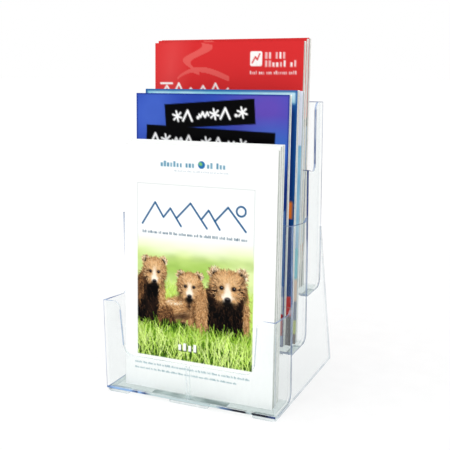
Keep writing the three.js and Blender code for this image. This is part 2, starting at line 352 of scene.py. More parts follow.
def clear_piece(node, materials):
    """A rounded copy of a clear CAD node, with its edges in materials of their own."""
    mesh = frame["nodes"][node].data.copy()
    mesh.name = node + "_clear"
    mesh.materials.clear()
    for material in materials:
        mesh.materials.append(material)
    bm = bmesh.new()
    bm.from_mesh(mesh)
    tidy_facets(bm)
    mark_faces(bm)
    edges = sharp_edges(bm)
    rounded = bmesh.ops.bevel(bm, geom=edges, offset=BEVEL, segments=2, profile=0.6, affect="EDGES")
    for face in rounded["faces"]:
        face.material_index = SLOT_LINE
    if node == "front_pocket":
        mark_front(bm, *(Vector(corner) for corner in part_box(node)))
    for face in bm.faces:
        face.smooth = True
    for edge in bm.edges:
        edge.smooth = edge.calc_face_angle(0.0) < SHARP_OVER
    bm.to_mesh(mesh)
    bm.free()
    piece = add_object(node + "_clear", mesh)
    normals = piece.modifiers.new("flat faces stay flat", "WEIGHTED_NORMAL")
    normals.keep_sharp = True
    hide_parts(node)
    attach(piece, RACK)


# ---- painting


class Artwork:
    """A print in millimetres from its top left corner, held as one screen colour for each grid point."""

    def __init__(self, width, height, step, seed):
        self.step = step
        self.rng = np.random.default_rng(seed)
        self.columns = round(width / step) + 1
        self.rows = round(height / step) + 1
        self.width, self.height = width, height
        self.x, self.y = np.meshgrid(np.linspace(0, width, self.columns), np.linspace(0, height, self.rows))
        self.paint = np.ones((self.rows, self.columns, 3))

    def blend(self, cover, colour):
        """Lays a colour over the print. cover says how much of it each point takes, from 0 to 1."""
        cover = np.asarray(cover, float)[..., None]
        self.paint = self.paint * (1 - cover) + np.asarray(colour, float) * cover

    def edge(self, distance, soft=0.0):
        """1 inside and 0 outside an outline, from each point's distance to it, negative inside."""
        return np.clip(0.5 - distance / (self.step + soft), 0, 1)

    def turned(self, x, y, angle):
        """Each point's place in axes through x, y that are turned by an angle in radians."""
        dx, dy = self.x - x, self.y - y
        c, s = math.cos(angle), math.sin(angle)
        return dx * c + dy * s, dy * c - dx * s

    def ellipse(self, x, y, rx, ry, angle=0.0, soft=0.0):
        u, v = self.turned(x, y, angle)
        return self.edge((np.hypot(u / rx, v / ry) - 1) * min(rx, ry), soft)

    def block(self, x, y, half_x, half_y, angle=0.0, radius=0.0):
        u, v = self.turned(x, y, angle)
        du = np.abs(u) - half_x + radius
        dv = np.abs(v) - half_y + radius
        outside = np.hypot(np.maximum(du, 0), np.maximum(dv, 0))
        return self.edge(outside + np.minimum(np.maximum(du, dv), 0) - radius)

    def below(self, crest, soft=0.0):
        return self.edge(crest - self.y, soft)

    def flood(self, crest, colour, soft=0.0):
        """Paints everything under a crest."""
        self.blend(self.below(crest, soft), colour)

    def fade(self, top, depth):
        """From 0 at a height to 1 a depth under it, or over it if the depth is negative."""
        return np.clip((self.y - top) / depth, 0, 1)

    def line(self, points, thick):
        """A pen line through the points."""
        cover = np.zeros_like(self.x)
        for (x0, y0), (x1, y1) in zip(points[:-1], points[1:]):
            dx, dy = x1 - x0, y1 - y0
            along = np.clip(((self.x - x0) * dx + (self.y - y0) * dy) / (dx * dx + dy * dy), 0, 1)
            distance = np.hypot(self.x - x0 - along * dx, self.y - y0 - along * dy)
            cover = np.maximum(cover, self.edge(distance - thick / 2))
        return cover

    def pen(self, points, thick, colour):
        self.blend(self.line(points, thick), colour)

    def ring(self, x, y, radius, thick):
        return self.edge(np.abs(np.hypot(self.x - x, self.y - y) - radius) - thick / 2)

    def border(self, thick):
        """The band along the print's own edges."""
        half_x, half_y = self.width / 2, self.height / 2
        return 1 - self.block(half_x, half_y, half_x - thick, half_y - thick)

    def words(self, left, right, middle, tall, colour):
        """A line of unreadable print: words of short upright marks, uneven in height and weight."""
        rng = self.rng
        x = left
        while x < right - tall:
            for _ in range(rng.integers(2, 8)):
                if x > right - tall / 2:
                    break
                half = tall * rng.choice((0.34, 0.36, 0.5))
                y = middle + tall / 2 - half
                cover = self.block(x + tall * 0.26, y, tall * rng.uniform(0.16, 0.24), half)
                self.blend(cover * rng.uniform(0.65, 1.0), colour)
                x += tall * 0.62
            x += tall * 0.5

    def noise(self, size, seed, stretch=1.0):
        """Smooth noise from 0 to 1, with features of about that size in millimetres."""
        rng = np.random.default_rng(seed)
        lattice = rng.random((int(self.height / size) + 3, int(self.width * stretch / size) + 3))
        u, v = self.x * stretch / size, self.y / size
        i, j = v.astype(int), u.astype(int)
        fu, fv = u - j, v - i
        fu, fv = fu * fu * (3 - 2 * fu), fv * fv * (3 - 2 * fv)
        low = lattice[i, j] * (1 - fu) + lattice[i, j + 1] * fu
        high = lattice[i + 1, j] * (1 - fu) + lattice[i + 1, j + 1] * fu
        return low * (1 - fv) + high * fv

    def fractal(self, size, seed, layers=3, stretch=1.0):
        """Layers of smooth noise, each of half the size and half the weight of the one before."""
        total, weight = 0.0, 0.0
        for layer in range(layers):
            share = 0.5**layer
            total = total + share * self.noise(size * share, seed + layer, stretch)
            weight += share
        return total / weight

    def blotches(self, size, seed, gain, cut, stretch=1.0):
        """Soft blotches: noise times gain, less cut."""
        return np.clip(self.fractal(size, seed, stretch=stretch) * gain - cut, 0, 1)

    def strokes(self, start, end, colours, bend, strength, fade, steps):
        """Thin brush strokes from start to end, each in its own colour, fading towards the end."""
        along = end - start
        side = np.stack([-along[:, 1], along[:, 0]], 1)
        for t in np.linspace(0, 1, steps):
            at = start + along * t + side * (bend * t * t)[:, None]
            column = np.rint(at[:, 0] / self.step).astype(int)
            row = np.rint(at[:, 1] / self.step).astype(int)
            keep = (column >= 0) & (column < self.columns) & (row >= 0) & (row < self.rows)
            share = strength * (1 - fade * t)
            old = self.paint[row[keep], column[keep]]
            self.paint[row[keep], column[keep]] = old * (1 - share) + colours[keep] * share


def shades(colours, rng, count, spread=0.12):
    """count colours picked between the given ones, each a little lighter or darker."""
    colours = np.asarray(colours, float)
    pick = rng.random(count) * (len(colours) - 1)
    low = pick.astype(int)
    part = (pick - low)[:, None]
    mixed = colours[low] * (1 - part) + colours[np.minimum(low + 1, len(colours) - 1)] * part
    return np.clip(mixed * (1 + rng.uniform(-spread, spread, (count, 1))), 0, 1)


BLACK_FUR, DARK_FUR, UMBER = tone(4, 3, 3), tone(34, 20, 14), tone(88, 58, 36)
AMBER, SAND, CREAM = tone(188, 136, 84), tone(234, 194, 144), tone(254, 242, 222)
NOSE, GLINT = tone(14, 12, 14), tone(220, 220, 225)
COAT = (UMBER, AMBER, SAND)
SHADED_COAT = (DARK_FUR, UMBER, AMBER)
SHADOW_COAT = (BLACK_FUR, BLACK_FUR, DARK_FUR, UMBER)
FUR_SPREAD = 0.35


def fur(art, x, y, rx, ry, colours, length, away=(0.0, -30.0), density=1.8):
    """Short hairs over an ellipse, all lying away from the point that is offset from its middle."""
    rng = art.rng
    count = int(math.pi * rx * ry * density)
    radius = np.sqrt(rng.random(count))
    turn = rng.random(count) * 2 * math.pi
    root = np.stack([x + rx * radius * np.cos(turn), y + ry * radius * np.sin(turn)], 1)
    lie = root - np.array([x + away[0], y + away[1]])
    lie /= np.maximum(np.linalg.norm(lie, axis=1), 1e-6)[:, None]
    lie += rng.normal(0, FUR_SPREAD, (count, 2))
    lie /= np.linalg.norm(lie, axis=1)[:, None]
    tip = root + lie * (length * rng.uniform(0.6, 1.3, (count, 1)))
    art.strokes(root, tip, shades(colours, rng, count), rng.normal(0, 0.12, count), 0.7, 0.4, 8)


def patch(art, x, y, rx, ry, colour, soft, share=1.0, angle=0.0):
    """A soft patch of shade, with its edge broken up as fur breaks it."""
    ragged = 1 + 0.5 * (art.fractal(3.2, int(art.rng.integers(1000)), 2) - 0.5)
    u, v = art.turned(x, y, angle)
    art.blend(share * art.edge((np.hypot(u / rx, v / ry) * ragged - 1) * min(rx, ry), soft), colour)


def bear_head(art, x, y, k, long, shade):
    """A brown bear's face, from in front. y is its eye line, k its scale and long its height to width.

    shade says how dark the left and the right cheek are.
    """
    tall = k * long
    for side in (-1, 1):
        ear_x, ear_y = x + side * 12.6 * k, y - 11.6 * tall
        patch(art, ear_x, ear_y, 5.8 * k, 5.6 * k, SAND, 1.0)
        fur(art, ear_x, ear_y, 5.6 * k, 5.4 * k, [UMBER, SAND, CREAM], 2.6 * k, (-side * 3, 8))
        patch(art, ear_x - side * 0.6 * k, ear_y + 1.2 * k, 3.4 * k, 3.7 * k, BLACK_FUR, 1.8 * k, 0.9)
    patch(art, x, y - 0.6 * tall, 16.0 * k, 13.6 * tall, AMBER, 1.6)
    fur(art, x, y - 0.6 * tall, 16.4 * k, 13.8 * tall, COAT, 3.2 * k, (0, 4 * k))
    patch(art, x, y - 6.5 * tall, 10.5 * k, 6.4 * tall, SAND, 6 * k, 0.85)
    for side, depth in ((-1, shade[0]), (1, shade[1])):
        patch(art, x + side * 12.2 * k, y + 4.6 * tall, 4.4 * k, 9.4 * tall, DARK_FUR, 5 * k, depth)
        patch(art, x + side * 6.6 * k, y + 4.2 * tall, 3.6 * k, 7.6 * tall, SAND, 3 * k, 0.55)
    fur(art, x, y, 15 * k, 13 * tall, [AMBER, SAND], 2.6 * k, (0, 2 * k), 0.35)
    patch(art, x, y + 3.2 * tall, 3.0 * k, 6.6 * tall, CREAM, 2.4 * k, 0.9)
    patch(art, x, y + 8.6 * tall, 5.0 * k, 5.0 * tall, CREAM, 2.0 * k, 0.95)
    patch(art, x, y + 14.2 * tall, 6.0 * k, 3.0 * tall, BLACK_FUR, 2.4 * k, 0.95)
    art.blend(art.ellipse(x, y + 10.4 * tall, 3.1 * k, 2.5 * k, soft=0.7 * k), NOSE)
    art.blend(0.45 * art.ellipse(x, y + 9.3 * tall, 1.5 * k, 0.6 * k, soft=0.8), GLINT)
    for side in (-1, 1):
        eye_x = x + side * 6.0 * k
        patch(art, eye_x, y - 0.1 * k, 2.7 * k, 2.3 * k, UMBER, 1.4 * k, 0.8)
        art.blend(art.ellipse(eye_x, y, 1.9 * k, 1.9 * k), NOSE)
        art.blend(0.7 * art.ellipse(eye_x + 0.4 * k, y - 0.5 * k, 0.5 * k, 0.5 * k), GLINT)


def seated_bear(art):
    fur(art, 29, 190, 15, 36, [UMBER, AMBER, UMBER], 5.0)
    patch(art, 31, 188, 16, 38, UMBER, 2.0)
    fur(art, 30, 184, 17, 37, [DARK_FUR, UMBER, AMBER, UMBER], 5.2, (2, -40))
    patch(art, 26, 208, 14, 30, BLACK_FUR, 7, 1.0)
    patch(art, 43, 208, 6, 24, BLACK_FUR, 4, 1.0)
    patch(art, 36, 182, 8, 24, DARK_FUR, 6, 0.9)
    patch(art, 37, 172, 9, 12, BLACK_FUR, 5, 1.0)
    fur(art, 28, 190, 13, 24, SHADOW_COAT, 5.0, (2, -40), 0.2)
    fur(art, 50, 180, 4, 22, COAT, 4.0, (-4, -30), 1.6)
    fur(art, 20, 172, 5, 18, SHADED_COAT, 4.5, (6, -30), 0.6)
    bear_head(art, 40, 149, 0.9, 1.25, (1.0, 0.5))


def lying_bear(art):
    patch(art, 78, 196, 27, 20, AMBER, 2.0, 1.0, -0.25)
    fur(art, 78, 196, 27, 20, COAT, 5.0, (24, -10))
    patch(art, 56, 203, 9, 11, UMBER, 3.0)
    fur(art, 56, 203, 10, 12, SHADED_COAT, 4.0, (8, -4))
    patch(art, 55, 214, 6, 9, BLACK_FUR, 3.0, 1.0)
    patch(art, 74, 214, 14, 7, BLACK_FUR, 4.0, 1.0)
    patch(art, 76, 200, 14, 3.6, DARK_FUR, 5.0, 0.7, -0.2)
    patch(art, 91, 186, 7, 8, DARK_FUR, 4.0, 0.8)
    fur(art, 67, 183, 12, 2.4, [AMBER, SAND, CREAM], 3.4, (20, -6), 1.0)
    fur(art, 98, 190, 8, 24, COAT, 5.0, (10, -30))
    bear_head(art, 86.5, 162.5, 0.92, 1.2, (0.6, 0.5))


def standing_bear(art):
    patch(art, 127, 194, 32, 33, UMBER, 2.5)
    fur(art, 126, 192, 33, 34, SHADED_COAT, 5.5, (6, -40))
    patch(art, 132, 208, 27, 28, BLACK_FUR, 7, 1.0)
    patch(art, 114, 190, 7, 28, BLACK_FUR, 6, 0.95)
    patch(art, 150, 192, 5, 26, BLACK_FUR, 4, 0.95)
    fur(art, 130, 196, 24, 24, SHADOW_COAT, 5.5, (2, -40), 0.2)
    fur(art, 103, 190, 7, 32, COAT, 5.5, (10, -40))
    fur(art, 158, 190, 3.4, 30, COAT, 5.0, (-6, -40), 1.2)
    bear_head(art, 135, 159, 1.3, 1.02, (1.0, 1.0))


def grass(art, left, right, low, high, colours, count, length, strength=0.9):
    """Blades of grass with their roots between low and high, the nearest drawn last."""
    rng = art.rng
    root = np.stack([rng.uniform(left, right, count), np.sort(rng.uniform(low, high, count))], 1)
    lean = np.stack([rng.normal(0, 0.3, count), -np.ones(count)], 1)
    tip = root + lean * (length * rng.uniform(0.5, 1.25, (count, 1)))
    bend = rng.normal(0, 0.22, count)
    art.strokes(root, tip, shades(colours, rng, count, 0.16), bend, strength, 0.2, int(length * 1.6) + 6)


LEAF, SPRING, LIME = tone(70, 112, 26), tone(118, 160, 44), tone(170, 206, 78)
BLADES = (LEAF, SPRING, LIME)
MOSS, PALE_GRASS = tone(26, 44, 14), tone(216, 236, 150)
PAPER_WHITE = tone(250, 251, 250)


def paint_bears_picture(art, left, right):
    """Three brown bears in a meadow that fades up into white."""
    art.blend(art.fade(104, 26) * art.blotches(38, 3, 1.3, -0.2, 0.5), tone(222, 240, 158))
    band = art.fade(118, 16) * art.fade(166, -16)
    art.blend(0.85 * band * art.blotches(24, 8, 1.8, 0.4, 0.45), tone(150, 190, 78))
    art.blend(0.35 * band * art.blotches(16, 18, 3, 1.5, 0.5), tone(96, 134, 66))
    art.blend(0.9 * art.fade(158, 10), tone(190, 224, 104))
    grass(art, left, right, 166, 214, [LIME, LIME, PALE_GRASS], 1500, 12.0, 0.45)
    seated_bear(art)
    lying_bear(art)
    standing_bear(art)
    art.flood(231 - 9 * art.fractal(8, 31, stretch=2.0), tone(92, 136, 34), 2.0)
    art.blend(0.85 * art.below(231.0, 6.0) * art.blotches(8, 41, 4, 2.1, 3.0), MOSS)
    grass(art, left, right, 224, 238, BLADES, 520, 18.0)
    grass(art, left, right, 232, 264, BLADES, 2000, 15.0)
    grass(art, left, right, 238, 262, [MOSS, LEAF], 600, 11.0)
    grass(art, left, right, 228, 262, [LIME, PALE_GRASS], 380, 19.0)


def paint_meadow(art):
    """White cover with a framed picture, a pen drawing of peaks and unreadable print."""
    art.blend(1.0, PAPER_WHITE)
    left, right, top, bottom = 17.0, 166.5, 44.0, 253.0
    middle_x, middle_y = (left + right) / 2, (top + bottom) / 2
    half_x, half_y = (right - left) / 2, (bottom - top) / 2
    paper = art.paint.copy()
    paint_bears_picture(art, left, right)
    picture = art.block(middle_x, middle_y, half_x, half_y)
    art.paint = paper * (1 - picture[..., None]) + art.paint * picture[..., None]
    frame_line = picture - art.block(middle_x, middle_y, half_x - 1.1, half_y - 1.1)
    art.blend(0.9 * np.clip(frame_line, 0, 1) * art.fade(130, -20), tone(208, 212, 212))
    ink, teal, slate = tone(24, 84, 132), tone(84, 140, 168), tone(110, 148, 160)
    for peaks in (
        [(24, 92), (41, 66), (52, 83), (61, 72), (75, 92)],
        [(69, 83), (87, 64.5), (108, 92)],
        [(101, 82), (110, 71), (124, 92)],
        [(118, 83), (134, 66), (156, 92)],
    ):
        art.pen(peaks, 2.1, ink)
    art.blend(art.ring(150, 69.5, 5.5, 2.1), ink)
    art.words(24, 158, 101.5, 3.0, tone(62, 92, 112))
    art.words(48, 94, 20.5, 6.6, teal)
    art.words(107, 137, 20.5, 6.6, teal)
    art.blend(art.ellipse(100.5, 20.0, 4.4, 4.4), tone(40, 110, 170))
    art.blend(art.ellipse(99.3, 19.0, 2.3, 1.9, 0.5, 0.8), tone(120, 190, 110))
    art.words(66, 134, 28.0, 1.6, tone(178, 190, 200))
    for colour, shift in ((MOSS, 0.9), (tone(252, 252, 252), 0.0)):
        for mark in range(4):
            half = 4.6 if mark % 2 else 3.6
            art.blend(art.block(74 + shift + 6.6 * mark, 241 + shift - half, 1.9, half), colour)
    art.words(13, 164, 263.5, 2.3, slate)
    art.words(13, 150, 270.5, 2.3, slate)


def snow_crystal(art, x, y, size, thick, colour, rays=6, turn=0.3):
    """A star of straight rays."""
    for ray in range(rays):
        angle = turn + 2 * math.pi * ray / rays
        tip = (x + size * math.cos(angle), y + size * math.sin(angle))
        art.pen([(x, y), tip], thick, colour)


def snow_marks(art, left, middle, slope, pattern, size, colour):
    """A row of white brush marks: c is a snow crystal, p a peak, d a dot and w a wave."""
    x = left
    for mark in pattern:
        y = middle + (x - left) * slope
        if mark == "c":
            snow_crystal(art, x, y, size, 2.6, colour)
        elif mark == "p":
            art.pen([(x - size, y + size), (x, y - size), (x + size, y + size)], 3.0, colour)
        elif mark == "w":
            tall = 0.45 * size
            wave = [(x - size + step * size / 4, y + tall * math.sin(step * 1.6)) for step in range(9)]
            art.pen(wave, 3.0, colour)
        else:
            art.blend(art.ellipse(x, y + size * 0.5, 2.2, 2.2), colour)
        x += size * (2.3 if mark != "d" else 1.3)


def paint_snow(art):
    """Violet-blue cover: slanted black blocks with white brush marks, over a sky and snowy slopes, with a painted
    highlight high on the left.
    """
    art.blend(1.0, tone(56, 86, 190))
    art.blend(0.55 * art.fractal(42, 5), tone(30, 48, 140))
    # A painted highlight: a soft paler gleam high on the left of the cover.
    art.blend(0.5 * art.ellipse(22, 20, 26, 34, 0.3, 30), tone(84, 120, 214))
    art.blend(0.75 * art.ellipse(172, 16, 40, 30, 0.0, 44), tone(112, 74, 178))
    art.blend(0.7 * art.ellipse(178, 66, 34, 26, 0.0, 34), tone(70, 138, 226))
    art.blend(0.6 * art.fade(70, 40), tone(22, 56, 140))
    slopes = ((150, 46, tone(96, 140, 206)), (196, 34, tone(206, 222, 244)), (238, 20, tone(244, 248, 253)))
    for ridge, (height, rough, shade) in enumerate(slopes):
        crest = height - rough * (art.fractal(70, 60 + ridge, 4) - 0.5) * 2.2
        crest = crest + 10 * np.sin(art.x / (19 + 7 * ridge))
        art.flood(crest, shade)
        lee = art.blotches(15, 70 + ridge, 6, 3.12, 2.0)
        art.blend(0.5 * lee * art.below(crest, 3.0), tone(104, 134, 200))
    art.blend(art.block(186, 268, 40, 13), tone(206, 36, 40))
    black, white = tone(4, 4, 6), tone(250, 250, 250)
    art.blend(art.block(98, 23.5, 58.5, 14.5, -0.072), black)
    art.blend(art.block(97.5, 56, 84, 15.5, 0.032), black)
    snow_marks(art, 56, 27.0, -0.072, "cpdwcpdc", 6.0, white)
    snow_marks(art, 26, 55.0, 0.032, "pcwpdcpwcd", 6.6, white)
    art.words(20, 120, 284, 5, white)
    art.blend(0.8 * art.border(1.4), tone(36, 56, 136))


def paint_silk(art):
    """Red cover: a paler brush swirl, a white badge, white peaks and a picture lower down, with a painted
    highlight high on the left.
    """
    red, pale, white = tone(214, 48, 50), tone(226, 92, 88), tone(250, 248, 246)
    art.blend(1.0, red)
    # A painted highlight: a soft pale gleam high up the left side of the cover.
    art.blend(0.35 * art.ellipse(22, 30, 16, 60, 0.1, 30), tone(232, 110, 108))
    reach = np.linspace(0, 1, 60)
    for offset in np.linspace(-1, 1, 26):
        wide = 3.2 + 3.6 * (1 - reach)
        upper_x = 60 + 13 * np.sin(1.1 + 6.4 * reach) - 14 * reach**3 + offset * wide
        upper = np.stack([upper_x, 2 + 36 * reach + offset * 1.2], 1)
        arch = 44 - 11 * np.sin(math.pi * reach**0.8)
        wide = 0.6 + 4.6 * reach * (1 - reach) + 2.0 * reach
        lower = np.stack([32 + 70 * reach, arch + offset * wide], 1)
        for path in (upper, lower):
            colours = np.repeat(pale[None], len(path) - 1, 0)
            art.strokes(path[:-1], path[1:], colours, np.zeros(len(path) - 1), 0.3, 0.0, 6)
    art.blend(art.block(138, 20.2, 7.8, 8.8, radius=2.2), white)
    art.pen([(133, 25), (137, 18), (139.5, 21.5), (142.5, 14.5)], 1.6, red)
    art.words(149, 178, 16.5, 7.6, white)
    art.words(149, 190, 26.0, 7.6, white)
    art.words(130, 190, 36.5, 4.0, white)
    zigzag = [(8 + 8.5 * turn, 66 - (turn % 2) * (16 - 3 * (turn % 3))) for turn in range(12)]
    art.pen(zigzag, 2.6, white)
    art.pen([(8, 50), (24, 50)], 2.6, white)
    paint_harbour(art)


def paint_harbour(art):
    """The picture under a black band: a pale blue haze, steel-blue hills and warm roofs in front."""
    top = 104.0
    art.flood(top - 10, tone(12, 12, 16))
    art.flood(top, tone(150, 190, 222))
    art.flood(top + 46, tone(206, 226, 236), 60.0)
    hills = ((170, tone(112, 150, 178)), (192, tone(70, 100, 124)))
    for layer, (height, colour) in enumerate(hills):
        art.flood(height + 20 * (art.fractal(44, 80 + layer) - 0.5), colour)
    art.flood(214 + 4 * (art.fractal(20, 90) - 0.5), tone(140, 190, 206))
    roofs = np.floor(art.x / 14) * 0.618 % 1.0
    art.flood(236 + 18 * roofs, tone(196, 118, 64))
    art.flood(249 + 14 * roofs, tone(232, 214, 186))
    art.flood(272 + 6 * (art.fractal(9, 95) - 0.5), tone(70, 46, 34))


def paint_coast(art):
    """Cyan and navy cover: sky and sea above a navy panel, with an orange stripe low on it."""
    navy, ice = tone(28, 84, 150), tone(120, 186, 224)
    art.blend(1.0, tone(134, 202, 226))
    art.blend(0.8 * art.blotches(22, 52, 2.4, 0.9, 0.6), tone(226, 242, 246))
    art.flood(13 + 3 * art.fractal(30, 55), navy)
    art.flood(22.0, tone(18, 56, 122), 6.0)
    art.words(18, 150, 44, 12, tone(246, 248, 250))
    art.words(18, 120, 62, 6, tone(160, 208, 232))
    art.blend(art.ring(98, 140, 34, 3.0), ice)
    snow_crystal(art, 98, 140, 30, 2.4, ice, rays=8, turn=0.0)
    art.blend(art.block(98, 137, 98.5, 10), tone(232, 120, 44))
    art.flood(240, tone(200, 30, 34))
    art.flood(264, tone(44, 28, 24))
    for row in range(3):
        art.words(18, 150 - 20 * row, 268 + 9 * row, 3.6, tone(232, 226, 214))
    art.blend(art.border(2.2) * art.below(-1.0) * (art.y < 240), navy)


def paint_lagoon(art):
    """Pale lilac cover with a light blue lagoon and a sand bar."""
    art.blend(1.0, tone(222, 226, 240))
    art.words(16, 150, 22, 11, tone(70, 92, 150))
    art.words(16, 110, 38, 5, tone(120, 140, 180))
    art.flood(60 + 6 * art.fractal(60, 62), tone(120, 178, 214))
    art.blend(0.7 * art.below(74.0, 40.0) * art.fractal(26, 64, stretch=0.4), tone(196, 226, 236))
    bands = (
        (176, 16, 70, tone(96, 190, 204)),
        (212, 24, 80, tone(214, 184, 160)),
        (242, 8, 24, tone(92, 104, 128)),
        (268, 6, 24, tone(168, 178, 78)),
        (284, 4, 24, tone(84, 62, 44)),
    )
    for seed, (height, rough, size, colour) in enumerate(bands, 66):
        art.flood(height + rough * art.fractal(size, seed), colour)
    art.words(16, 130, 284, 5, tone(250, 246, 236))


def paint_back(ground, accent, seed):
    """The back of a cover: a soft panel, two columns of unreadable print and a plain bar patch."""

    def paint(art):
        art.blend(1.0, ground)
        art.blend(0.22 * art.fractal(110, seed), accent)
        panel = art.block(art.width / 2, 62, art.width / 2 - 16, 36, radius=3)
        art.blend(panel, accent * 0.55 + ground * 0.45)
        hills = 66 - 20 * (art.fractal(40, seed + 3) - 0.5)
        art.blend(panel * art.below(hills), accent * 0.75 + 0.2)
        for column in range(2):
            start = 18 + column * (art.width / 2 - 6)
            for row in range(13):
                end = start + art.rng.uniform(58, 68)
                art.words(start, end, 122 + 8.4 * row, 3.0, accent * 0.5 + 0.3)
        art.blend(art.block(art.width - 44, 266, 26, 12, radius=1.5), PAPER_WHITE)
        for bar in range(16):
            place = art.width - 65 + bar * 2.8
            art.blend(art.block(place, 266, art.rng.uniform(0.4, 1.0), 8), tone(30, 30, 34))

    return paint


# ---- brochures

COVERS = {
    "cover_meadow": (paint_meadow, 11, tone(246, 248, 247), tone(120, 170, 90), 201),
    "cover_blue": (paint_snow, 23, tone(46, 74, 176), tone(150, 176, 222), 202),
    "cover_cyan": (paint_coast, 51, tone(24, 66, 136), tone(134, 202, 226), 203),
    "cover_lilac": (paint_lagoon, 61, tone(222, 226, 240), tone(96, 150, 196), 204),
    "cover_red": (paint_silk, 37, tone(208, 46, 48), tone(246, 190, 170), 205),
}
WHITE_EDGE, MINT_EDGE, GREY_EDGE = tone(252, 252, 250), tone(222, 236, 222), tone(196, 204, 198)
PAGE_COLOURS = {
    "front": (WHITE_EDGE, MINT_EDGE, WHITE_EDGE, GREY_EDGE),
    "middle": (WHITE_EDGE, tone(206, 226, 226), tone(240, 234, 218), tone(140, 168, 190)),
    "rear": (WHITE_EDGE, tone(244, 244, 230), tone(232, 224, 204), GREY_EDGE),
}
FIRST_STEP = {"front": 0.8, "middle": 1.1, "rear": 1.1}
HIDDEN_STEP, BACK_STEP = 1.9, 2.2
PAGE_SEED = 400

CARD = 0.42 * MM
SPINE_RADIUS = 0.9 * MM
SPINE_STEPS = 5
PRINT_LIFT = 0.1 * MM


def lift_axis(body):
    """The direction in which a brochure slides out of its pocket."""
    for joint in frame["joints"]:
        if joint["child"] == body:
            return Vector(joint["axis"]).normalized()
    raise ValueError(f"no joint lifts {body}")


class Booklet:
    """One brochure's own space: x from the spine, y from front to back, z up its cover, in metres."""

    def __init__(self, body):
        self.body = body
        axis = lift_axis(body)
        lean = math.atan2(axis.y, axis.z)
        low, high = (Vector(corner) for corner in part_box(body + "_cover"))
        size = high - low
        c, s = math.cos(lean), math.sin(lean)
        self.width = size.x
        self.height = (size.z * c - size.y * s) / (c * c - s * s)
        self.thickness = (size.y * c - size.z * s) / (c * c - s * s)
        foot = Vector((low.x, low.y, low.z + self.thickness * s))
        self.matrix = Matrix.Translation(foot) @ Matrix.Rotation(-lean, 4, "X")


def add_piece(name, bm, booklet, material):
    """Puts a piece made in a booklet's own space in its place, on the booklet's body."""
    mesh = bpy.data.meshes.new(name)
    bmesh.ops.recalc_face_normals(bm, faces=bm.faces)
    bm.to_mesh(mesh)
    bm.free()
    mesh.transform(booklet.matrix)
    mesh.materials.append(material)
    piece = add_object(name, mesh)
    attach(piece, booklet.body)
    return piece


def cover_section(booklet, inset):
    """The cover's outline in plan, from the front sheet's free edge round the spine to the back's."""
    w, t = booklet.width, booklet.thickness
    r = SPINE_RADIUS - inset * 0.6
    turns = [math.pi / 2 * step / SPINE_STEPS for step in range(SPINE_STEPS + 1)]
    points = [(w, inset), (0.5 * w, inset)]
    for turn in turns:
        points.append((inset + r - r * math.sin(turn), inset + r - r * math.cos(turn)))
    for turn in turns:
        points.append((inset + r - r * math.cos(turn), t - inset - r + r * math.sin(turn)))
    return points + [(0.5 * w, t - inset), (w, t - inset)]


def make_cover(booklet, material, ground):
    """The folded card cover, as one closed shell: the print's ground colour outside, white inside."""
    bm = bmesh.new()
    paint = bm.loops.layers.float_color.new("paint")
    rings = []
    for z in (0.0, booklet.height):
        outer = [bm.verts.new((x, y, z)) for x, y in cover_section(booklet, 0.0)]
        inner = [bm.verts.new((x, y, z)) for x, y in cover_section(booklet, CARD)]
        rings.append(outer + inner[::-1])
    low, high = rings
    count = len(low)
    half = count // 2
    colours = {}
    for index in range(count):
        after = (index + 1) % count
        face = bm.faces.new((low[index], low[after], high[after], high[index]))
        colours[face] = ground if index < half - 1 else PAPER_WHITE
    for ring in rings:
        for index in range(half - 1):
            facing = count - 1 - index
            face = bm.faces.new((ring[index], ring[index + 1], ring[facing - 1], ring[facing]))
            colours[face] = PAPER_WHITE
    for face, colour in colours.items():
        face.smooth = True
        for loop in face.loops:
            loop[paint] = (*linear_of(colour), 1.0)
    for edge in bm.edges:
        edge.smooth = edge.calc_face_angle(0.0) < ROUNDED_OVER
    piece = add_piece(booklet.body + "_card", bm, booklet, material)
    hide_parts(booklet.body + "_cover")
    return piece


def make_print(booklet, name, paint, seed, step, material, back=False):
    """The printed face of a cover: a thin closed sheet on the card, painted point by point."""
    left = SPINE_RADIUS
    width = booklet.width - left
    art = Artwork(width / MM, booklet.height / MM, step, seed)
    paint(art)
    card = booklet.thickness if back else 0.0
    face = card + PRINT_LIFT if back else card - PRINT_LIFT
    bm = bmesh.new()
    layer = bm.verts.layers.float_color.new("paint")
    linear = linear_of(np.clip(art.paint, 0, 1))
    grid = []
    for row in range(art.rows):
        z = booklet.height * (1 - row / (art.rows - 1))
        line = []
        for column in range(art.columns):
            part = column / (art.columns - 1)
            x = left + width * (1 - part if back else part)
            vert = bm.verts.new((x, face, z))
            vert[layer] = (*linear[row, column], 1.0)
            line.append(vert)
        grid.append(line)
    for row in range(art.rows - 1):
        upper, lower = grid[row], grid[row + 1]
        for column in range(art.columns - 1):
            bm.faces.new((upper[column], lower[column], lower[column + 1], upper[column + 1]))
    right_side = [line[-1] for line in grid[1:]]
    left_side = [line[0] for line in grid[-2:0:-1]]
    border = grid[0] + right_side + grid[-1][-2::-1] + left_side
    below = []
    for vert in border:
        twin = bm.verts.new((vert.co.x, card, vert.co.z))
        twin[layer] = vert[layer]
        below.append(twin)
    for index in range(len(border)):
        after = (index + 1) % len(border)
        bm.faces.new((border[index], border[after], below[after], below[index]))
    bm.faces.new(below)
    return add_piece(f"{booklet.body}_{name}", bm, booklet, material)


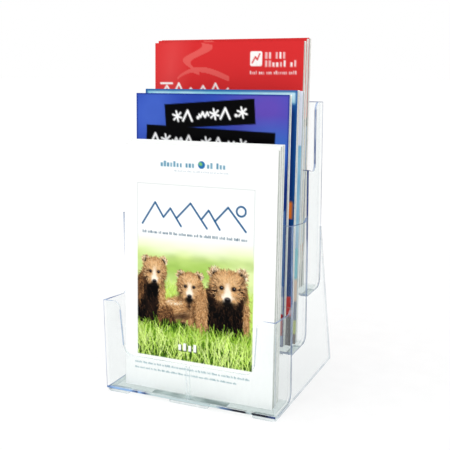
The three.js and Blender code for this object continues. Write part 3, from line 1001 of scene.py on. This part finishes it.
def add_prism(bm, outline, levels, shade_at, layer):
    """A closed upright prism: outline is its plan, levels its cuts, shade_at the colour at a height."""
    rings = [[bm.verts.new((x, y, z)) for x, y in outline] for z in levels]
    faces = []
    for low, high in zip(rings[:-1], rings[1:]):
        for index in range(len(outline)):
            after = (index + 1) % len(outline)
            faces.append(bm.faces.new((low[index], low[after], high[after], high[index])))
    faces.append(bm.faces.new(rings[0][::-1]))
    faces.append(bm.faces.new(rings[-1]))
    for face in faces:
        colour = (*linear_of(shade_at(face.calc_center_median().z)), 1.0)
        for loop in face.loops:
            loop[layer] = colour


SECTIONS = 9
EDGE_CUTS = 40


def make_pages(booklet, material, colours, seed):
    """The page block: bound sections, each a little proud of or short of its neighbours."""
    rng = np.random.default_rng(seed)
    bm = bmesh.new()
    layer = bm.loops.layers.float_color.new("tint")
    margin = CARD + 0.1 * MM
    left = margin + 0.1 * MM
    gap = 0.06 * MM
    thick = (booklet.thickness - 2 * margin - gap * (SECTIONS - 1)) / SECTIONS
    chamfer = 0.18 * thick
    for section in range(SECTIONS):
        front = margin + section * (thick + gap)
        back = front + thick
        right = booklet.width - rng.uniform(0.3, 0.9) * MM
        low = rng.uniform(0.3, 0.6) * MM
        high = booklet.height - rng.uniform(0.3, 0.9) * MM
        inner = right - chamfer
        free_edge = [(inner, front), (right, front + chamfer), (right, back - chamfer), (inner, back)]
        outline = [(left, front), *free_edge, (left, back)]
        base = colours[rng.integers(len(colours))] * rng.uniform(0.95, 1.02)
        bleed = colours[rng.integers(len(colours))] * rng.uniform(0.7, 1.0)
        amount = np.clip(np.cumsum(rng.normal(0, 0.3, EDGE_CUTS + 1)), -0.6, 1.2)

        def shade_at(z, base=base, bleed=bleed, amount=amount, low=low, high=high):
            step = int(EDGE_CUTS * (z - low) / (high - low))
            share = float(np.clip(amount[step], 0, 0.85))
            return np.clip(base * (1 - share) + bleed * share, 0, 1)

        add_prism(bm, outline, np.linspace(low, high, EDGE_CUTS + 1), shade_at, layer)
    piece = add_piece(booklet.body + "_sections", bm, booklet, material)
    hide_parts(booklet.body + "_pages")


# ---- the model

# The edge, line and rib materials are copies of one clear plastic, each with its own painted light: a deep colour,
# pale glints and how solid they look.
PLASTIC = [
    clear_wall("clear_wall", (0.982, 0.989, 0.988), 0.01, 0.03, rgb(232, 240, 238)),
    clear_edge("clear_edge", rgb(118, 148, 198), rgb(226, 236, 244), 0.3, 0.75),
    clear_edge("clear_line", rgb(22, 52, 124), rgb(132, 162, 208), 0.7, 1.0),
    clear_base_edge(),
    clear_wall("clear_floor", (0.9, 0.935, 0.93), 0.06, 0.14, rgb(176, 196, 190)),
    clear_edge("clear_rib", rgb(98, 118, 116), rgb(176, 192, 190), 0.7, 0.95),
    clear_edge("clear_pale_line", rgb(176, 194, 206), rgb(240, 245, 246), 0.2, 0.55),
]
# The stand panels and the feet take paler copies of the edge colours: painted light.
STAND_PLASTIC = [
    PLASTIC[SLOT_WALL],
    clear_edge("stand_edge", rgb(176, 190, 204), rgb(238, 243, 243), 0.15, 0.5),
    clear_edge("stand_line", rgb(188, 200, 212), rgb(226, 232, 236), 0.25, 0.5),
] + PLASTIC[SLOT_BASE:]
FOOT_PLASTIC = [
    PLASTIC[SLOT_WALL],
    clear_edge("foot_edge", rgb(188, 202, 204), rgb(238, 243, 243), 0.1, 0.35),
    clear_edge("foot_line", rgb(140, 160, 168), rgb(214, 224, 226), 0.3, 0.7),
    clear_edge("foot_base_line", rgb(120, 144, 156), rgb(206, 218, 222), 0.3, 0.7),
    PLASTIC[SLOT_WALL],
    PLASTIC[SLOT_RIB],
]

for node in POCKET_NODES:
    clear_piece(node, PLASTIC)
for node in STAND_NODES:
    clear_piece(node, STAND_PLASTIC)
for node in FOOT_NODES:
    clear_piece(node, FOOT_PLASTIC)

CARD_MATERIAL = printed_card("coated_card", gloss_roughness=0.28)
PRINT_MATERIAL = printed_card("printed_face", gloss_roughness=0.2)
PAGE_MATERIAL = page_edges()
SLOTS = {entry["node"]: entry["material_slot"] for entry in frame["record"]["subparts"]}

for tier_index, tier in enumerate(TIER_NAMES):
    for place in range(PER_TIER):
        body = f"{tier}_brochure_{place + 1}"
        booklet = Booklet(body)
        slot = SLOTS[body + "_cover"]
        paint, seed, ground, accent, back_seed = COVERS[slot]
        step = HIDDEN_STEP if place else FIRST_STEP[tier]
        card = make_cover(booklet, CARD_MATERIAL, ground)
        face = make_print(booklet, "print", paint, seed, step, PRINT_MATERIAL)
        paint = paint_back(ground, accent, back_seed)
        back = make_print(booklet, "back_print", paint, back_seed, BACK_STEP, PRINT_MATERIAL, back=True)
        make_pages(booklet, PAGE_MATERIAL, PAGE_COLOURS[tier], PAGE_SEED + 10 * tier_index + place)


# ---- floor, light and camera

FLOOR_SIZE = 60.0
FLOOR_GAP = 0.2 * MM


def make_floor():
    """A plain pale floor just under the rack, lit from within so that it reads as a white table."""
    s = Shader("floor")
    grain = s.noise(s.place(), 30.0, 2.0, 0.5)
    plain = s.node(
        "BsdfPrincipled",
        Base_Color=s.ramp(grain, (0.3, (0.21, 0.21, 0.21)), (0.7, (0.23, 0.23, 0.23))),
        Roughness=0.8,
        Specular_IOR_Level=0.0,
        Emission_Color=(1.0, 1.0, 1.0, 1.0),
        Emission_Strength=0.76,
    )
    material = s.finish(plain)
    mesh = bpy.data.meshes.new("floor")
    half = FLOOR_SIZE / 2
    corners = [(-half, -half, 0), (half, -half, 0), (half, half, 0), (-half, half, 0)]
    mesh.from_pydata(corners, [], [(0, 1, 2, 3)])
    mesh.materials.append(material)
    floor = add_object("floor", mesh)
    floor.location.z = -FLOOR_GAP


def make_sun(name, azimuth, elevation, spread, strength):
    """A broad overhead light: azimuth is where it comes from, turned from the front towards +X."""
    data = bpy.data.lights.new(name, "SUN")
    data.angle = math.radians(spread)
    data.energy = strength
    sun = add_object(name, data)
    sun.rotation_euler = (math.radians(90 - elevation), 0.0, math.radians(azimuth))


def make_world(seen, lit):
    """A white studio that the camera sees, and a dimmer one that lights and reflects."""
    world = bpy.data.worlds.new("studio")
    world.use_nodes = True
    tree = world.node_tree
    background = tree.nodes["Background"]
    background.inputs["Color"].default_value = (1.0, 1.0, 1.0, 1.0)
    rays = tree.nodes.new("ShaderNodeLightPath")
    level = tree.nodes.new("ShaderNodeMapRange")
    level.inputs[3].default_value = lit
    level.inputs[4].default_value = seen
    tree.links.new(rays.outputs["Is Camera Ray"], level.inputs[0])
    tree.links.new(level.outputs[0], background.inputs["Strength"])
    bpy.context.scene.world = world


def make_camera(place, azimuth, elevation, lens):
    """The camera, with its lens in millimetres on a full frame."""
    data = bpy.data.cameras.new("camera")
    data.lens = lens
    data.sensor_width = 36.0
    data.clip_start = 0.01
    camera = add_object("camera", data)
    camera.location = place
    camera.rotation_euler = (math.radians(90 - elevation), 0.0, math.radians(azimuth))
    bpy.context.scene.camera = camera


make_floor()
make_world(seen=1.0, lit=0.55)
make_sun("overhead", azimuth=-30, elevation=62, spread=70, strength=2.1)
make_sun("fill", azimuth=62, elevation=24, spread=60, strength=0.55)
make_camera(place=(0.3855, -0.8607, 0.3853), azimuth=24.07, elevation=11.30, lens=61.7)
bpy.context.scene.view_settings.view_transform = "Standard"
